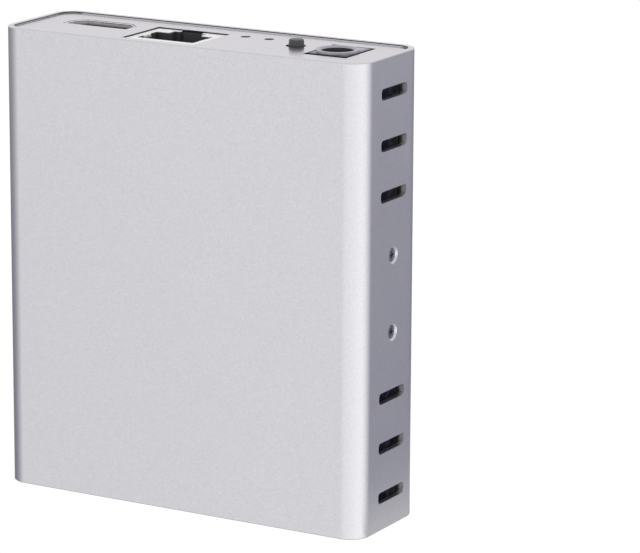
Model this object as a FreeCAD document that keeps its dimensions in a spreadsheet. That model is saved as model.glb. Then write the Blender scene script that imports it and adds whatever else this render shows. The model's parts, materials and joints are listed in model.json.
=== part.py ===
import FreeCAD, Part
import math
import os
import re
import Sketcher

# Signal extender box standing on its short end, millimetres.
# X is the width, Y the depth with the front at minus Y, Z the height.
# The origin is at the middle of the lower rim.

# Driving dimensions, one cell of the sheet each
SIZES = {
    # extruded sleeve
    "sleeve_length": 93.5,
    "sleeve_width": 82.0,
    "sleeve_depth": 23.8,
    "sleeve_wall": 1.2,
    "corner_radius": 4.2,
    "rim_chamfer": 0.15,
    # cooling slots in both narrow sides
    "vent_length": 10.2,
    "vent_height": 2.25,
    "vent_pitch": 10.0,
    "vent_count": 3,
    "vent_margin": 6.83,
    "vent_drop": 0.2,
    "vent_shift": 0.95,
    "vent_end_round": 0.75,
    # countersunk side screws
    "screw_spread": 15.3,
    "screw_shift": 1.0,
    "screw_head": 2.7,
    "screw_head_height": 0.55,
    "screw_shank": 1.6,
    "screw_length": 3.6,
    "screw_sink": 0.35,
    "screw_slot_width": 0.4,
    "screw_slot_length": 1.4,
    "screw_slot_depth": 0.35,
    # bent sheet tray with its two end panels
    "sheet_gauge": 0.8,
    "bend_inside": 0.2,
    "tray_clearance": 0.1,
    "end_recess": 0.3,
    "ear_length": 27.0,
    "ear_reach": 4.0,
    # circuit board and what it stands on
    "board_gauge": 1.6,
    "board_side_gap": 1.4,
    "board_end_gap": 0.5,
    "standoff_length": 3.0,
    "standoff_width": 5.0,
    "standoff_inset": 4.0,
    "standoff_low": 10.0,
    "board_screw_shank": 2.5,
    "board_screw_head": 4.6,
    "board_screw_head_height": 1.8,
    "board_screw_length": 4.4,
    "board_hole": 3.0,
    "running_gap": 0.05,
    # gaps between the sockets, as shares of what they leave of the board's width
    "share_video": 0.172,
    "share_network": 0.176,
    "share_first_lamp": 0.114,
    "share_second_lamp": 0.0993,
    "share_switch": 0.1573,
    "share_power": 0.1008,
    # places on the board, as shares of its half width or of its free height
    "share_host": 0.533,
    "share_standoff": 0.9,
    "share_sink_across": 0.107,
    "share_sink_up": 0.42,
    # sockets in the upper end panel
    "port_gap": 0.25,
    "video_gap": 0.12,
    "video_recess": 0.05,
    "port_recess": 0.2,
    "network_width": 16.0,
    "network_height": 13.3,
    "network_length": 18.0,
    "shield_gauge": 0.25,
    "plug_width": 13.0,
    "plug_height": 7.7,
    "plug_near": 2.35,
    "plug_depth": 12.5,
    "latch_width": 7.4,
    "latch_height": 2.2,
    "catch_width": 5.0,
    "catch_height": 0.7,
    "finger_width": 2.6,
    "finger_length": 4.0,
    "finger_lean": 0.9,
    "wire_count": 8,
    "wire_pitch": 1.02,
    "wire_width": 0.46,
    "wire_gauge": 0.3,
    "wire_reach": 2.4,
    "wire_length": 8.0,
    "wire_crest": 4.8,
    "wire_nose": 0.9,
    "wire_lead": 1.0,
    "video_width": 14.8,
    "video_height": 5.7,
    "video_length": 11.5,
    "video_bevel_across": 2.2,
    "video_bevel_up": 2.1,
    "video_gauge": 0.3,
    "tongue_drop": 0.1,
    "tongue_width": 11.4,
    "tongue_gauge": 1.4,
    "tongue_recess": 1.2,
    "tongue_root": 5.0,
    "video_contact_count": 10,
    "video_contact_pitch": 1.0,
    "video_contact_width": 0.45,
    "video_contact_gauge": 0.12,
    "video_contact_length": 4.2,
    "power_width": 8.6,
    "power_height": 9.5,
    "power_length": 13.9,
    "power_block_length": 3.4,
    "power_lip": 0.9,
    "power_axis_height": 5.1,
    "power_barrel": 8.4,
    "power_collar_height": 0.5,
    "power_bore": 6.4,
    "power_bore_flare": 0.35,
    "power_bore_depth": 9.5,
    "power_recess": 0.05,
    "power_cut_width": 9.4,
    "power_cut_height": 12.0,
    "power_cut_back": 1.0,
    "power_cut_shift": 0.35,
    "power_pin": 2.0,
    "power_pin_recess": 1.0,
    "power_pin_tip": 0.6,
    "power_spring_width": 2.4,
    "power_spring_gauge": 0.3,
    "power_spring_length": 7.5,
    "power_spring_lean": 0.7,
    "power_spring_crest": 4.5,
    # status lamps
    "lamp_hole": 2.0,
    "lamp_width": 3.0,
    "lamp_height": 1.0,
    "lamp_length": 1.6,
    "lamp_lens": 0.9,
    "lamp_gap": 0.4,
    # push switch
    "switch_size": 6.0,
    "switch_axis_height": 4.1,
    "switch_length": 3.6,
    "switch_gap": 0.3,
    "switch_plate": 0.3,
    "switch_wall": 0.7,
    "switch_leg": 1.2,
    "leg_overlap": 0.1,
    "button_stem": 3.35,
    "button_draft": 4.8,
    "button_hole": 3.9,
    "button_hole_shift": 0.15,
    "button_proud": 1.35,
    "button_flange": 4.2,
    "button_flange_length": 0.7,
    "button_nose": 1.8,
    "button_travel": 0.25,
    "button_edge": 0.2,
    "dome_width": 4.0,
    "dome_height": 0.6,
    "dome_gauge": 0.12,
    "dome_hollow": 1.8,
    "dome_slope_across": 1.2,
    "dome_slope_up": 0.48,
    # host port in the lower end panel
    "host_width": 12.0,
    "host_height": 10.8,
    "host_length": 15.6,
    "host_gauge": 0.3,
    "host_mouth_width": 8.5,
    "host_mouth_height": 7.8,
    "host_mouth_bevel": 1.6,
    "host_tongue_width": 5.6,
    "host_tongue_height": 3.2,
    "host_mouth_depth": 9.0,
    "host_tongue_recess": 0.8,
    "host_contact_width": 0.8,
    "host_contact_gauge": 0.2,
    "host_contact_length": 6.0,
    "host_contact_pitch": 2.5,
    # parts soldered to the board
    "main_chip_size": 14.0,
    "main_chip_height": 1.4,
    "thermal_pad_gauge": 0.5,
    "sink_size": 22.0,
    "sink_base": 1.6,
    "sink_height": 7.0,
    "fin_gauge": 1.0,
    "fin_count": 7,
    "chip_height": 1.1,
    "receiver_chip_size": 10.0,
    "network_chip_size": 7.0,
    "host_chip_size": 7.0,
    "memory_chip_width": 8.0,
    "memory_chip_length": 12.5,
    "flash_chip_size": 5.2,
    "transformer_width": 12.8,
    "transformer_length": 9.5,
    "transformer_height": 5.6,
    "transformer_gap": 3.5,
    "can_width": 6.3,
    "can_height": 5.8,
    "can_foot": 1.0,
    "can_drop": 13.0,
    "coil_size": 7.0,
    "coil_height": 3.6,
    "coil_plate": 0.8,
    "coil_round": 6.0,
    "crystal_width": 5.0,
    "crystal_length": 3.2,
    "crystal_height": 1.1,
    "regulator_width": 6.5,
    "regulator_length": 3.5,
    "regulator_height": 1.6,
    "ceramic_width": 1.6,
    "ceramic_length": 0.9,
    "ceramic_height": 0.9,
    "ceramic_pitch": 3.0,
    "ceramic_count": 5,
    "diode_width": 4.3,
    "diode_length": 2.8,
    "diode_height": 2.1,
    "diode_gap": 1.1,
}

# Places worked out from the sizes, spelled out where they are used
PLACES = {
    "half_width": "sleeve_width / 2",
    "half_depth": "sleeve_depth / 2",
    "cavity_side": "half_width - sleeve_wall",
    "cavity_back": "half_depth - sleeve_wall",
    "cavity_radius": "corner_radius - sleeve_wall",
    "middle": "sleeve_length / 2",
    "panel_side": "cavity_side - tray_clearance",
    "tray_back": "cavity_back - tray_clearance",
    "tray_floor": "tray_back - sheet_gauge",
    "tray_radius": "cavity_radius - tray_clearance",
    "bend_outside": "bend_inside + sheet_gauge",
    "ear_inside": "panel_side - sheet_gauge",
    "board_back": "tray_floor - standoff_length",
    "board_face": "board_back - board_gauge",
    "top_face": "sleeve_length - end_recess",
    "top_inside": "top_face - sheet_gauge",
    "low_face": "end_recess",
    "low_inside": "low_face + sheet_gauge",
    "board_top": "top_inside - board_end_gap",
    "board_low": "low_inside + board_end_gap",
    "board_side": "ear_inside - board_side_gap",
    "standoff_side": "board_side - standoff_inset",
    "standoff_high": "field_low + share_standoff * field",
    "spare_width": "2 * board_side - video_width - network_width - 2 * lamp_width"
                   " - switch_size - power_width",
    "video_place": "-board_side + share_video * spare_width + video_width / 2",
    "network_place": "video_place + video_width / 2 + share_network * spare_width"
                     " + network_width / 2",
    "lamp_first": "network_place + network_width / 2 + share_first_lamp * spare_width"
                  " + lamp_width / 2",
    "lamp_second": "lamp_first + lamp_width + share_second_lamp * spare_width",
    "switch_place": "lamp_second + lamp_width / 2 + share_switch * spare_width"
                    " + switch_size / 2",
    "power_place": "switch_place + switch_size / 2 + share_power * spare_width"
                   " + power_width / 2",
    "host_place": "-board_side * share_host",
    "port_top": "top_face - port_recess",
    "shield_skin": "shield_gauge + running_gap",
    "network_near": "board_face - network_height",
    "network_low": "port_top - network_length",
    "plug_front": "network_near + plug_near",
    "plug_back": "plug_front + plug_height",
    "latch_back": "plug_back + latch_height",
    "video_skin": "video_gauge + running_gap",
    "video_near": "board_face - video_height",
    "video_low": "top_face - video_recess - video_length",
    "video_slope": "sqrt(video_bevel_across ^ 2 + video_bevel_up ^ 2)",
    "video_axis": "board_face - video_height / 2 - tongue_drop",
    "power_axis": "board_face - power_axis_height",
    "power_top": "top_face - power_recess",
    "power_low": "power_top - power_length",
    "lamp_axis": "board_face - lamp_height / 2",
    "lamp_top": "top_inside - lamp_gap",
    "switch_axis": "board_face - switch_axis_height",
    "switch_top": "top_inside - switch_gap",
    "switch_low": "switch_top - switch_length",
    "plate_low": "switch_top - switch_plate",
    "button_top": "top_face + button_proud",
    "flange_top": "plate_low - running_gap",
    "flange_low": "flange_top - button_flange_length",
    "dome_low": "switch_low + switch_wall",
    "dome_top": "dome_low + dome_height",
    "button_low": "dome_top + button_travel + running_gap",
    "host_skin": "host_gauge + running_gap",
    "host_low": "low_face + port_recess",
    "host_near": "board_face - host_height",
    "host_axis": "board_face - host_height / 2",
    "field_low": "host_low + host_length",
    "field": "network_low - field_low",
    "sink_across": "board_side * share_sink_across",
    "sink_up": "field_low + share_sink_up * field",
    "can_across": "(network_place + network_width / 2 + power_place - power_width / 2) / 2",
    "chip_face": "board_face - main_chip_height",
    "sink_face": "chip_face - thermal_pad_gauge",
}

# Flat chips: name, share of the half board across, share of the free field up, width, length
CHIPS = [
    ("video_receiver_chip", "-0.6", "0.84", "receiver_chip_size", "receiver_chip_size"),
    ("network_chip", "-0.533", "0.56", "network_chip_size", "network_chip_size"),
    ("memory_chip", "0.62", "0.42", "memory_chip_width", "memory_chip_length"),
    ("flash_chip", "0.62", "0.2", "flash_chip_size", "flash_chip_size"),
    ("host_chip", "-0.533", "0.2", "host_chip_size", "host_chip_size"),
]

WORD = re.compile(r"[a-z][a-z_]+")
NODES = []

doc = FreeCAD.newDocument("extender")
sheet = doc.addObject("Spreadsheet::Sheet", "Sizes")


def fill_sheet():
    for row, (name, size) in enumerate(SIZES.items(), start=1):
        sheet.set(f"A{row}", name)
        sheet.set(f"B{row}", str(size))
        sheet.setAlias(f"B{row}", name)
    doc.recompute()


def spell(expression):
    """Replace each named place and size by cells of the sheet."""
    def swap(match):
        word = match.group(0)
        if word in PLACES:
            return "(" + spell(PLACES[word]) + ")"
        return "Sizes." + word if word in SIZES else word
    return WORD.sub(swap, str(expression))


def bind(item, field, expression):
    item.setExpression(field, spell(expression))


def number(expression):
    """The present value of an expression."""
    return float(sheet.evalExpression(spell(expression)))


def keep(item, name):
    """Name a finished piece, which becomes a node of that name."""
    item.Label = name
    NODES.append(item)
    return item


def new_body(name):
    return keep(doc.addObject("PartDesign::Body", "body_" + name), name)


def origin_item(body, role):
    return next(item for item in body.Origin.OriginFeatures if item.Role == role)


def new_sketch(body, name, plane, shift="0"):
    """A sketch on one of the body's own planes, shifted along its normal."""
    sketch = body.newObject("Sketcher::SketchObject", name)
    sketch.AttachmentSupport = [(origin_item(body, plane), "")]
    sketch.MapMode = "FlatFace"
    bind(sketch, "AttachmentOffset.Base.z", shift)
    return sketch


def pin_point(sketch, line, end, place):
    """Hold one point of a line or arc at a bound place."""
    for kind, expression in zip(("DistanceX", "DistanceY"), place):
        index = sketch.addConstraint(
            Sketcher.Constraint(kind, -1, 1, line, end, number(expression)))
        bind(sketch, f"Constraints[{index}]", expression)


def draw_polygon(sketch, places):
    """A closed outline of straight lines through bound corners."""
    corners = [FreeCAD.Vector(number(x), number(y), 0) for x, y in places]
    lines = [sketch.addGeometry(Part.LineSegment(corner, corners[(index + 1) % len(corners)]))
             for index, corner in enumerate(corners)]
    for index, line in enumerate(lines):
        following = lines[(index + 1) % len(lines)]
        sketch.addConstraint(Sketcher.Constraint("Coincident", line, 2, following, 1))
        pin_point(sketch, line, 1, places[index])


def draw_box(sketch, left, low, right, high):
    draw_polygon(sketch, [(left, low), (right, low), (right, high), (left, high)])


def draw_circle(sketch, x, y, diameter):
    centre = FreeCAD.Vector(number(x), number(y), 0)
    round_line = sketch.addGeometry(
        Part.Circle(centre, FreeCAD.Vector(0, 0, 1), number(diameter) / 2))
    index = sketch.addConstraint(
        Sketcher.Constraint("Radius", round_line, number(diameter) / 2))
    bind(sketch, f"Constraints[{index}]", f"({diameter}) / 2")
    pin_point(sketch, round_line, 3, (x, y))


def draw_rounded_box(sketch, left, low, right, high, radius):
    """A box with a quarter round at each corner, all of one radius."""
    size = number(radius)
    quarters = [(left, low, 1, 1, 180), (right, low, -1, 1, 270),
                (right, high, -1, -1, 0), (left, high, 1, -1, 90)]
    arcs = []
    for x, y, inward_x, inward_y, start in quarters:
        centre = (f"{x} + ({inward_x}) * ({radius})", f"{y} + ({inward_y}) * ({radius})")
        circle = Part.Circle(FreeCAD.Vector(number(centre[0]), number(centre[1]), 0),
                             FreeCAD.Vector(0, 0, 1), size)
        arc = sketch.addGeometry(Part.ArcOfCircle(circle, math.radians(start),
                                                  math.radians(start + 90)))
        index = sketch.addConstraint(Sketcher.Constraint("Radius", arc, size))
        bind(sketch, f"Constraints[{index}]", radius)
        pin_point(sketch, arc, 3, centre)
        arcs.append(arc)
    for index, arc in enumerate(arcs):
        following = arcs[(index + 1) % len(arcs)]
        end = sketch.getPoint(arc, 2)
        start = sketch.getPoint(following, 1)
        side = sketch.addGeometry(Part.LineSegment(end, start))
        sketch.addConstraint(Sketcher.Constraint("Tangent", arc, 2, side, 1))
        sketch.addConstraint(Sketcher.Constraint("Tangent", side, 2, following, 1))


def pad(body, sketch, length, name, both_ways=False, backwards=False):
    feature = body.newObject("PartDesign::Pad", name)
    feature.Profile = sketch
    feature.Midplane = both_ways
    feature.Reversed = backwards
    bind(feature, "Length", length)
    return feature


def pocket(body, sketch, length, name, both_ways=False, backwards=False):
    feature = body.newObject("PartDesign::Pocket", name)
    feature.Profile = sketch
    feature.Midplane = both_ways
    feature.Reversed = backwards
    bind(feature, "Length", length)
    return feature


def row_of(body, originals, axis, count, pitch, name, backwards=False):
    """Repeat features along an axis of the body at a bound pitch."""
    doc.recompute()
    feature = body.newObject("PartDesign::LinearPattern", name)
    feature.Originals = originals
    feature.Direction = (origin_item(body, axis), [""])
    feature.Reversed = backwards
    feature.Mode = "Spacing"
    bind(feature, "Offset", pitch)
    bind(feature, "Occurrences", count)
    body.Tip = feature
    return feature


def mirror(body, originals, plane, name):
    doc.recompute()
    feature = body.newObject("PartDesign::Mirrored", name)
    feature.Originals = originals
    feature.MirrorPlane = (origin_item(body, plane), [""])
    body.Tip = feature
    return feature


def edges_where(feature, wanted):
    """Names of the edges whose middle point passes a test."""
    doc.recompute()
    names = []
    for index, edge in enumerate(feature.Shape.Edges, start=1):
        point = edge.valueAt((edge.FirstParameter + edge.LastParameter) / 2)
        if wanted(point, edge):
            names.append(f"Edge{index}")
    return names


def dress(body, kind, feature, names, field, size, label):
    """Fillet or chamfer the named edges of a feature."""
    item = body.newObject(kind, label)
    item.Base = (feature, names)
    bind(item, field, size)
    body.Tip = item
    return item


def near(first, second):
    return abs(first - second) < 1e-4


def new_box(name, left, right, near_face, far_face, low, high):
    """A primitive block between bound faces."""
    box = doc.addObject("Part::Box", name)
    bind(box, "Length", f"({right}) - ({left})")
    bind(box, "Width", f"({far_face}) - ({near_face})")
    bind(box, "Height", f"({high}) - ({low})")
    bind(box, "Placement.Base.x", left)
    bind(box, "Placement.Base.y", near_face)
    bind(box, "Placement.Base.z", low)
    return box


def new_rod(name, x, y, z, diameter, length, axis, tip=None):
    """A primitive cylinder, or a cone where a tip diameter is given."""
    rod = doc.addObject("Part::Cone" if tip else "Part::Cylinder", name)
    rod.Placement.Rotation = FreeCAD.Rotation(FreeCAD.Vector(0, 0, 1), FreeCAD.Vector(*axis))
    bind(rod, "Radius1" if tip else "Radius", f"({diameter}) / 2")
    if tip:
        bind(rod, "Radius2", f"({tip}) / 2")
    bind(rod, "Height", length)
    for letter, place in zip("xyz", (x, y, z)):
        bind(rod, f"Placement.Base.{letter}", place)
    return rod


def new_hexagon(name, x, y, z, width, length):
    """A primitive six-sided post that runs towards the rear, its width across corners."""
    post = doc.addObject("Part::Prism", name)
    post.Polygon = 6
    post.Placement.Rotation = FreeCAD.Rotation(FreeCAD.Vector(1, 0, 0), -90)
    bind(post, "Circumradius", f"({width}) / 2")
    bind(post, "Height", length)
    for letter, place in zip("xyz", (x, y, z)):
        bind(post, f"Placement.Base.{letter}", place)
    return post


def fuse(name, items):
    joined = doc.addObject("Part::MultiFuse", name)
    joined.Shapes = items
    joined.Refine = True
    return joined


def cut(name, base, tool):
    cleared = doc.addObject("Part::Cut", name)
    cleared.Base = base
    cleared.Tool = tool
    return cleared


def group(name, items):
    """Separate like solids that share one node."""
    bundle = doc.addObject("Part::Compound", "group_" + name)
    bundle.Links = items
    return keep(bundle, name)


# Outer sleeve: one extruded tube with slots and countersunk holes in its sides
def make_sleeve():
    body = new_body("outer_sleeve")
    section = new_sketch(body, "sleeve_section", "XY_Plane")
    draw_rounded_box(section, "-half_width", "-half_depth", "half_width", "half_depth",
                     "corner_radius")
    draw_rounded_box(section, "-cavity_side", "-cavity_back", "cavity_side", "cavity_back",
                     "cavity_radius")
    tube = pad(body, section, "sleeve_length", "sleeve_extrusion")
    rims = edges_where(tube, lambda point, edge: is_outer_rim(point))
    dress(body, "PartDesign::Chamfer", tube, rims, "Size", "rim_chamfer", "rim_edges")
    for name, height, down in (("low", "vent_margin - vent_drop", False),
                               ("high", "sleeve_length - vent_margin - vent_drop", True)):
        outline = new_sketch(body, f"vent_{name}_outline", "YZ_Plane")
        draw_rounded_box(outline, "vent_shift - vent_length / 2", f"{height} - vent_height / 2",
                         "vent_shift + vent_length / 2", f"{height} + vent_height / 2",
                         "vent_end_round")
        slot = pocket(body, outline, "sleeve_width * 2", f"vent_{name}", both_ways=True)
        row_of(body, [slot], "Z_Axis", "vent_count", "vent_pitch", f"vents_{name}", down)
    add_screw_seats(body)


def is_outer_rim(point):
    """True on the outer edge of either open end."""
    at_end = near(point.z, 0) or near(point.z, number("sleeve_length"))
    inside = abs(point.x) < number("cavity_side") + 0.01 and (
        abs(point.y) < number("cavity_back") + 0.01)
    return at_end and not inside


def add_screw_seats(body):
    """Countersunk holes on one narrow side, mirrored to the other."""
    doc.recompute()
    outline = new_sketch(body, "screw_seat_places", "YZ_Plane", "half_width")
    for side in ("-", "+"):
        draw_circle(outline, "screw_shift", f"middle {side} screw_spread / 2", "screw_shank")
    doc.recompute()
    seat = body.newObject("PartDesign::Hole", "screw_seats")
    seat.Profile = outline
    seat.ThreadType = "None"
    seat.DepthType = "Dimension"
    bind(seat, "Depth", "sleeve_wall * 1.5")
    bind(seat, "Diameter", "screw_shank + running_gap * 2")
    seat.HoleCutType = "Countersink"
    seat.HoleCutCustomValues = True
    bind(seat, "HoleCutDiameter", "screw_head + running_gap * 2 + screw_sink * 2")
    bind(seat, "HoleCutCountersinkAngle",
         "2 * atan((screw_head - screw_shank) / 2 / screw_head_height)")
    seat.DrillPoint = "Flat"
    mirror(body, [seat], "YZ_Plane", "screw_seats_both_sides")


# Chassis tray: base against the rear wall, an end panel bent up at each end
# and a screw ear bent up at each side
def make_tray():
    body = new_body("chassis_tray")
    profile = new_sketch(body, "tray_profile", "YZ_Plane")
    draw_polygon(profile, [
        ("-tray_back", "low_face"), ("tray_back", "low_face"),
        ("tray_back", "top_face"), ("-tray_back", "top_face"),
        ("-tray_back", "top_inside"), ("tray_floor", "top_inside"),
        ("tray_floor", "low_inside"), ("-tray_back", "low_inside")])
    folded = pad(body, profile, "2 * (panel_side - tray_radius)", "tray_sheet", both_ways=True)
    outer = edges_where(folded, lambda point, edge: is_bend(point, "tray_back", "top_face",
                                                            "low_face"))
    round_outer = dress(body, "PartDesign::Fillet", folded, outer, "Radius", "bend_outside",
                        "bends_outside")
    inner = edges_where(round_outer, lambda point, edge: is_bend(
        point, "tray_floor", "top_inside", "low_inside"))
    dress(body, "PartDesign::Fillet", round_outer, inner, "Radius", "bend_inside",
          "bends_inside")
    for name, height in (("low", "low_face"), ("high", "top_inside")):
        outline = new_sketch(body, f"panel_{name}_outline", "XY_Plane", height)
        draw_panel(outline)
        pad(body, outline, "sheet_gauge", f"panel_{name}")
    add_ears(body)
    cut_ports(body)


def is_bend(point, depth, high, low):
    at_height = near(point.z, number(high)) or near(point.z, number(low))
    return near(point.y, number(depth)) and at_height


def draw_panel(sketch):
    """Full width of an end panel, short of the bend that joins it to the base."""
    draw_rounded_box(sketch, "-panel_side", "-tray_back", "panel_side",
                     "tray_back - bend_outside", "tray_radius")


def add_ears(body):
    """Ear with the sleeve's own corner round, tapped for the two side screws."""
    outline = new_sketch(body, "ear_outline", "XY_Plane", "middle")
    draw_ear(outline)
    ear = pad(body, outline, "ear_length", "ear", both_ways=True)
    doc.recompute()
    taps = new_sketch(body, "ear_taps", "YZ_Plane", "half_width")
    for side in ("-", "+"):
        draw_circle(taps, "screw_shift", f"middle {side} screw_spread / 2",
                    "screw_shank + running_gap * 2")
    tapped = pocket(body, taps, "half_width / 4", "ear_tapped_holes")
    mirror(body, [ear, tapped], "YZ_Plane", "ears_both_sides")


def draw_ear(sketch):
    """Quarter bend from the base to the side wall, then straight to its free end."""
    centre = ("panel_side - tray_radius", "tray_back - tray_radius")
    middle_point = FreeCAD.Vector(number(centre[0]), number(centre[1]), 0)
    arcs = []
    for radius in ("tray_radius", "tray_radius - sheet_gauge"):
        circle = Part.Circle(middle_point, FreeCAD.Vector(0, 0, 1), number(radius))
        arc = sketch.addGeometry(Part.ArcOfCircle(circle, 0, math.radians(90)))
        index = sketch.addConstraint(Sketcher.Constraint("Radius", arc, number(radius)))
        bind(sketch, f"Constraints[{index}]", radius)
        pin_point(sketch, arc, 3, centre)
        arcs.append(arc)
    outer, inner = arcs
    free_end = ("panel_side", "screw_shift - ear_reach")
    inner_end = ("ear_inside", "screw_shift - ear_reach")
    root = ("panel_side - tray_radius - bend_outside", "tray_back")
    inner_root = ("panel_side - tray_radius - bend_outside", "tray_floor")
    run = [sketch.getPoint(outer, 1), place_of(free_end), place_of(inner_end),
           sketch.getPoint(inner, 1)]
    back = [sketch.getPoint(inner, 2), place_of(inner_root), place_of(root),
            sketch.getPoint(outer, 2)]
    side = [sketch.addGeometry(Part.LineSegment(run[i], run[i + 1])) for i in range(3)]
    base = [sketch.addGeometry(Part.LineSegment(back[i], back[i + 1])) for i in range(3)]
    join = Sketcher.Constraint
    sketch.addConstraint([
        join("Tangent", outer, 1, side[0], 1), join("Coincident", side[0], 2, side[1], 1),
        join("Coincident", side[1], 2, side[2], 1), join("Tangent", side[2], 2, inner, 1),
        join("Tangent", inner, 2, base[0], 1), join("Coincident", base[0], 2, base[1], 1),
        join("Coincident", base[1], 2, base[2], 1), join("Tangent", base[2], 2, outer, 2)])
    for line, place in ((side[1], free_end), (base[1], inner_root)):
        index = sketch.addConstraint(join("DistanceY" if line == side[1] else "DistanceX",
                                          -1, 1, line, 1,
                                          number(place[1] if line == side[1] else place[0])))
        bind(sketch, f"Constraints[{index}]", place[1] if line == side[1] else place[0])
    sketch.addConstraint(join("Horizontal", side[1]))
    sketch.addConstraint(join("Vertical", base[1]))


def place_of(pair):
    return FreeCAD.Vector(number(pair[0]), number(pair[1]), 0)


def cut_ports(body):
    """Openings for the sockets, lamps and button, and for the host port below."""
    ports = new_sketch(body, "upper_ports", "XY_Plane", "top_face")
    draw_box(ports, "network_place - network_width / 2 - port_gap", "network_near - port_gap",
             "network_place + network_width / 2 + port_gap", "board_face + port_gap")
    draw_video_outline(ports, "video_gap")
    draw_box(ports, "power_place + power_cut_shift - power_cut_width / 2",
             "board_face + power_cut_back - power_cut_height",
             "power_place + power_cut_shift + power_cut_width / 2",
             "board_face + power_cut_back")
    for place in ("lamp_first", "lamp_second"):
        draw_circle(ports, place, "lamp_axis", "lamp_hole")
    draw_circle(ports, "switch_place - button_hole_shift", "switch_axis", "button_hole")
    pocket(body, ports, "sheet_gauge", "upper_port_cuts")
    host = new_sketch(body, "lower_port", "XY_Plane", "low_face")
    draw_box(host, "host_place - host_width / 2 - port_gap", "host_near - port_gap",
             "host_place + host_width / 2 + port_gap", "board_face + port_gap")
    pocket(body, host, "sheet_gauge", "lower_port_cut", backwards=True)


def draw_video_outline(sketch, grow):
    """Six-sided socket outline, narrower towards the board, grown by a gap."""
    side = f"video_width / 2 + ({grow})"
    waist = ("video_width / 2 - video_bevel_across"
             f" + ({grow}) * (video_slope - video_bevel_across) / video_bevel_up")
    shoulder = ("board_face - video_bevel_up"
                f" + ({grow}) * (video_slope - video_bevel_up) / video_bevel_across")
    near_edge = f"video_near - ({grow})"
    far_edge = f"board_face + ({grow})"
    draw_polygon(sketch, [
        (f"video_place - ({side})", near_edge), (f"video_place + ({side})", near_edge),
        (f"video_place + ({side})", shoulder), (f"video_place + ({waist})", far_edge),
        (f"video_place - ({waist})", far_edge), (f"video_place - ({side})", shoulder)])


# Circuit board with its four fixing holes
def make_board():
    body = new_body("circuit_board")
    outline = new_sketch(body, "board_outline", "XZ_Plane", "-board_back")
    draw_box(outline, "-board_side", "board_low", "board_side", "board_top")
    for x, z in standoff_places():
        draw_circle(outline, x, z, "board_hole")
    pad(body, outline, "board_gauge", "board_panel")


def standoff_places():
    return [(f"{side}standoff_side", height)
            for side in ("-", "") for height in ("standoff_low", "standoff_high")]


# Six-sided standoffs on the tray, and the screws that hold the board to them
def make_standoffs():
    posts = []
    for index, (x, z) in enumerate(standoff_places()):
        post = new_hexagon(f"standoff_post_{index}", x, "board_back", z, "standoff_width",
                           "standoff_length")
        bore = new_rod(f"standoff_bore_{index}", x, "board_back", z,
                       "board_screw_shank + running_gap * 2", "standoff_length", (0, 1, 0))
        posts.append(cut(f"standoff_{index}", post, bore))
    group("board_standoffs", posts)


def make_board_screws():
    """Six-sided heads, so that a small spanner turns them."""
    screws = []
    for index, (x, z) in enumerate(standoff_places()):
        head = new_hexagon(f"board_screw_head_{index}", x,
                           "board_face - board_screw_head_height", z, "board_screw_head",
                           "board_screw_head_height")
        shank = new_rod(f"board_screw_shank_{index}", x, "board_face", z,
                        "board_screw_shank", "board_screw_length", (0, 1, 0))
        screws.append(fuse(f"board_screw_{index}", [head, shank]))
    group("board_screws", screws)


# Countersunk screws through the sleeve into the tray's ears
def make_side_screws():
    screws = []
    for side, sign in (("left", -1), ("right", 1)):
        for level in ("-", "+"):
            screws.append(make_side_screw(f"{side}_{'low' if level == '-' else 'high'}", sign,
                                          f"middle {level} screw_spread / 2"))
    group("side_screws", screws)


def make_side_screw(name, sign, height):
    outer = f"{sign} * (half_width - screw_sink)"
    inward = (-sign, 0, 0)
    head = new_rod(f"side_head_{name}", outer, "screw_shift", height, "screw_head",
                   "screw_head_height", inward, tip="screw_shank")
    shank = new_rod(f"side_shank_{name}", outer, "screw_shift", height, "screw_shank",
                    "screw_length", inward)
    solid = fuse(f"side_solid_{name}", [head, shank])
    slot_outer = "half_width - screw_sink + 1"
    slot_inner = "half_width - screw_sink - screw_slot_depth"
    left, right = (slot_inner, slot_outer) if sign > 0 else (f"-({slot_outer})",
                                                            f"-({slot_inner})")
    bars = []
    for label, across, up in (("a", "screw_slot_length", "screw_slot_width"),
                              ("b", "screw_slot_width", "screw_slot_length")):
        bars.append(new_box(f"side_slot_{label}_{name}", left, right,
                            f"screw_shift - {across} / 2", f"screw_shift + {across} / 2",
                            f"{height} - {up} / 2", f"{height} + {up} / 2"))
    cross = fuse(f"side_cross_{name}", bars)
    return cut(f"side_screw_{name}", solid, cross)


# Network jack: folded shield, moulded housing and eight sprung wires
def draw_plug_outline(sketch, grow, far_edge):
    """Plug opening with its latch notch and catch notch, towards the board."""
    half = f"plug_width / 2 + ({grow})"
    latch = f"latch_width / 2 + ({grow})"
    catch = f"catch_width / 2 + ({grow})"
    near_edge = f"plug_front - ({grow})"
    shoulder = f"plug_back + ({grow})"
    step = f"latch_back + ({grow})"
    middle_x = "network_place"
    draw_polygon(sketch, [
        (f"{middle_x} - ({half})", near_edge), (f"{middle_x} + ({half})", near_edge),
        (f"{middle_x} + ({half})", shoulder), (f"{middle_x} + ({latch})", shoulder),
        (f"{middle_x} + ({latch})", step), (f"{middle_x} + ({catch})", step),
        (f"{middle_x} + ({catch})", far_edge), (f"{middle_x} - ({catch})", far_edge),
        (f"{middle_x} - ({catch})", step), (f"{middle_x} - ({latch})", step),
        (f"{middle_x} - ({latch})", shoulder), (f"{middle_x} - ({half})", shoulder)])


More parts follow.
